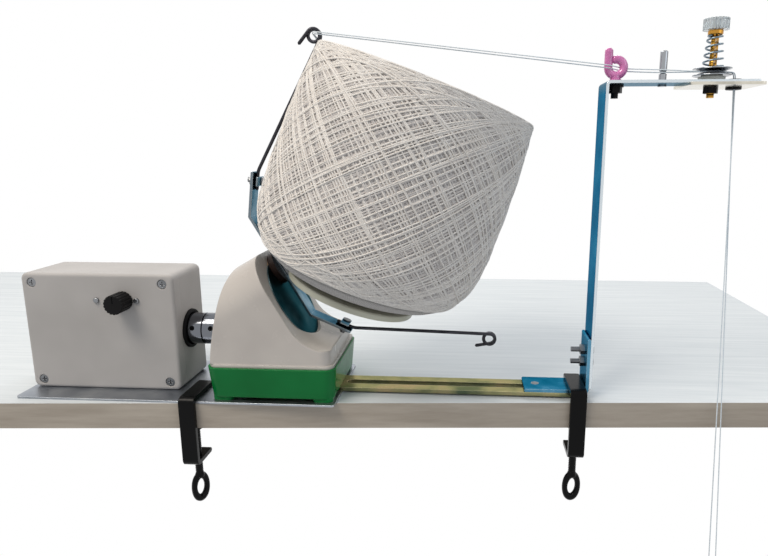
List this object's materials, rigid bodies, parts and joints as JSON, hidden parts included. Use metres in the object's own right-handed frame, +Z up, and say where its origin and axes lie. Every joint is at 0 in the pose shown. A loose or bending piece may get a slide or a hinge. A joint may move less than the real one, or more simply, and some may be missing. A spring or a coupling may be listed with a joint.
{
  "type": "yarn cone winder",
  "caption": "Motor-driven yarn cone winder clamped to a table edge: a turning wire flyer lays yarn from a tensioned guide arm onto a slowly turning tilted cone.",
  "frame": {"origin": "underside of the base plate on the table top, straight below the flyer hub", "axes": "+X along the extension bar from the motor box towards the guide arm, +Y away from the table's front edge, +Z up"},
  "size_m": [0.539, 0.178, 0.4016],
  "materials": {
    "zinc_plate": "zinc plated sheet, satin",
    "bright_zinc": "bright zinc plated strip",
    "yellow_zinc": "yellow zinc plated",
    "steel_fastener": "zinc plated fasteners",
    "turned_steel": "turned and polished",
    "chrome_steel": "polished chrome",
    "black_steel": "blackened steel, satin",
    "clamp_paint": "gloss black paint",
    "spring_wire": "blued spring steel",
    "brass_rod": "turned brass",
    "bearing_bronze": "sintered bronze",
    "motor_metal": "cast and turned metal",
    "grey_abs": "fine moulded texture",
    "cream_plastic": "moulded, low gloss",
    "green_plastic": "moulded, glossy",
    "black_plastic": "moulded",
    "black_rubber": "moulded rubber",
    "white_nylon": "moulded nylon",
    "circuit_board": "circuit board with its parts",
    "pink_ceramic": "glazed ceramic",
    "clear_acrylic": "clear moulded acrylic",
    "yarn": "wound yarn"
  },
  "bodies": {
    "frame": {"angle_bracket": "bright_zinc", "bar_bolts": "steel_fastener", "base_plate": "zinc_plate", "bearing_pedestals": "motor_metal", "bearings": "bearing_bronze", "box_grommet": "black_rubber", "disc_seat": "black_plastic", "face_plate": "zinc_plate", "gear_motor": "motor_metal", "guide_arm": "bright_zinc", "guide_plate": "bright_zinc", "left_clamp_strap": "clamp_paint", "lid_screws": "steel_fastener", "lower_disc": "chrome_steel", "motor_box_body": "grey_abs", "motor_box_lid": "grey_abs", "motor_bracket": "motor_metal", "mount_screws": "steel_fastener", "panel_screws": "steel_fastener", "pigtail_guide": "pink_ceramic", "pigtail_nut": "black_steel", "power_jack": "black_plastic", "right_clamp_strap": "clamp_paint", "sleeve_beam": "zinc_plate", "slotted_bar": "yellow_zinc", "speed_control": "circuit_board", "spindle": "turned_steel", "support_sleeve": "turned_steel", "tension_nut": "steel_fastener", "tension_post": "brass_rod", "tension_spring": "spring_wire", "upright_bolts": "steel_fastener", "winder_base": "green_plastic", "winder_housing": "cream_plastic", "yarn_eyelet": "black_plastic", "yarn_post": "chrome_steel", "yarn_strand_1": "yarn", "yarn_strand_2": "yarn"},
    "drive": {"drive_shafts": "turned_steel", "coupling": "turned_steel", "coupling_screws": "black_steel", "drive_gears": "white_nylon"},
    "flyer": {"flyer_hub": "black_plastic", "flyer_pinion": "white_nylon", "flyer_strip": "bright_zinc", "flyer_wires": "black_steel", "wire_clips": "bright_zinc", "flyer_screws": "steel_fastener"},
    "feed": {"feed_shaft": "turned_steel", "drive_roller": "black_rubber"},
    "cone": {"cone_holder": "cream_plastic", "yarn_package": "yarn"},
    "speed_dial": {"speed_knob": "black_plastic"},
    "top_disc": {"upper_disc": "chrome_steel"},
    "collar": {"spring_collar": "brass_rod"},
    "knob": {"tension_knob": "clear_acrylic"},
    "left_pad": {"left_clamp_pad": "clamp_paint"},
    "left_screw": {"left_clamp_screw": "clamp_paint"},
    "right_pad": {"right_clamp_pad": "clamp_paint"},
    "right_screw": {"right_clamp_screw": "clamp_paint"}
  },
  "joints": [
    {"name": "flyer_spin", "type": "hinge", "parent": "frame", "child": "flyer", "pos_m": [0, 0, 0.097], "axis": [0.866, 0, 0.5], "continuous": true},
    {"name": "drive_spin", "type": "hinge", "parent": "frame", "child": "drive", "pos_m": [0, 0, 0.045], "axis": [1, 0, 0], "continuous": true},
    {"name": "feed_spin", "type": "hinge", "parent": "frame", "child": "feed", "pos_m": [0, 0, 0.097], "axis": [0.866, 0, 0.5], "continuous": true},
    {"name": "cone_turn", "type": "hinge", "parent": "frame", "child": "cone", "pos_m": [0.054, 0, 0.0756], "axis": [0.3584, 0, 0.9336], "continuous": true},
    {"name": "speed_turn", "type": "hinge", "parent": "frame", "child": "speed_dial", "pos_m": [-0.1165, -0.0336, 0.073], "axis": [0, 1, 0], "range_deg": [-135, 135]},
    {"name": "disc_lift", "type": "slide", "parent": "frame", "child": "top_disc", "axis": [0, 0, 1], "range_m": [0, 0.0012], "stiffness_N_per_m": 150, "springref_m": -0.004, "deforming": ["tension_spring"]},
    {"name": "collar_travel", "type": "slide", "parent": "frame", "child": "collar", "axis": [0, 0, -1], "range_m": [0, 0.004], "deforming": ["tension_spring"]},
    {"name": "tension_turn", "type": "hinge", "parent": "collar", "child": "knob", "pos_m": [0.3125, 0, 0.266], "axis": [0, 0, -1], "range_deg": [0, 1800.1]},
    {"name": "left_pad_travel", "type": "slide", "parent": "frame", "child": "left_pad", "axis": [0, 0, -1], "range_m": [0, 0.014]},
    {"name": "left_screw_turn", "type": "hinge", "parent": "left_pad", "child": "left_screw", "pos_m": [-0.0625, -0.036, -0.024], "axis": [0, 0, -1], "range_deg": [0, 3360.2]},
    {"name": "right_pad_travel", "type": "slide", "parent": "frame", "child": "right_pad", "axis": [0, 0, -1], "range_m": [0, 0.014]},
    {"name": "right_screw_turn", "type": "hinge", "parent": "right_pad", "child": "right_screw", "pos_m": [0.228, -0.015, -0.024], "axis": [0, 0, -1], "range_deg": [0, 3360.2]}
  ],
  "couplings": [
    {"joint": "drive_spin", "follows": "flyer_spin", "ratio": -0.3125},
    {"joint": "feed_spin", "follows": "flyer_spin", "ratio": 2.3047},
    {"joint": "cone_turn", "follows": "flyer_spin", "ratio": -0.1885},
    {"joint": "tension_turn", "follows": "collar_travel", "rad_per_m": 7854},
    {"joint": "left_screw_turn", "follows": "left_pad_travel", "rad_per_m": 4188.8},
    {"joint": "right_screw_turn", "follows": "right_pad_travel", "rad_per_m": 4188.8}
  ]
}
